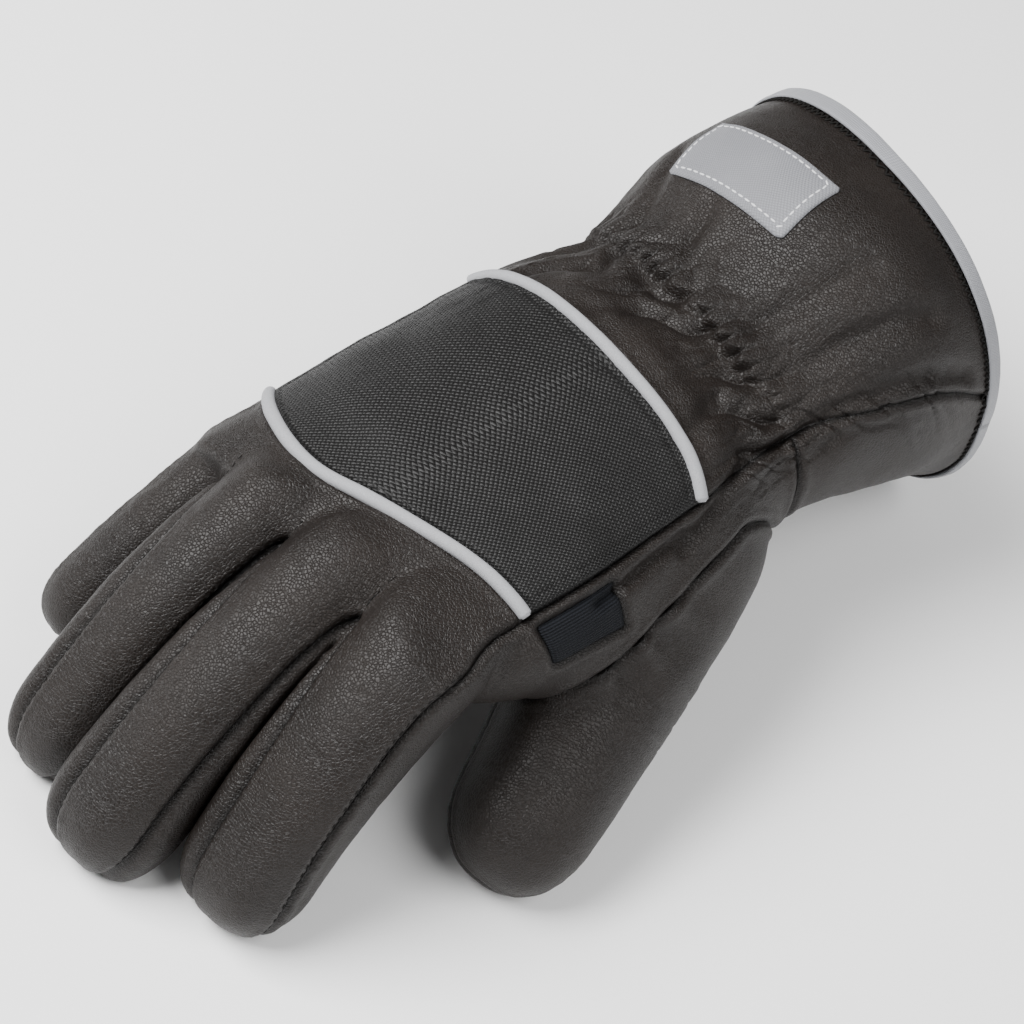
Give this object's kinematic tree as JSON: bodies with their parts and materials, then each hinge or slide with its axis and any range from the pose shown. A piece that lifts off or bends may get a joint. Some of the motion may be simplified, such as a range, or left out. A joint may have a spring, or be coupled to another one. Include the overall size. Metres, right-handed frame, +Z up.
{
  "type": "firefighter glove",
  "caption": "Right-hand leather firefighter glove lying palm down, with a textile knuckle guard, reflective piping, gathered wrist and flared cuff.",
  "frame": {"origin": "middle of the bounding box, on the surface that the glove lies on", "axes": "+X towards the thumb side, +Y from the fingers to the cuff, +Z up, away from the surface"},
  "size_m": [0.156, 0.2942, 0.1142],
  "materials": {
    "leather": "dark brown-black, fine grained, soft satin",
    "guard_textile": "coated woven textile, matt",
    "knit": "ribbed black knit, matt",
    "reflective": "pale grey reflective tape, satin"
  },
  "bodies": {
    "root": {"gusset_little_ring": "leather", "gusset_ring_middle": "leather", "gusset_middle_index": "leather", "back_panel": "leather", "knuckle_guard": "guard_textile", "front_piping": "reflective", "rear_piping": "reflective", "thumb_back": "leather", "thumb_front": "leather", "thumb_crotch_patch": "knit", "cuff_back": "leather", "cuff_palm": "leather", "palm_panel": "leather", "rim_binding": "reflective", "label_patch": "reflective"}
  },
  "joints": []
}
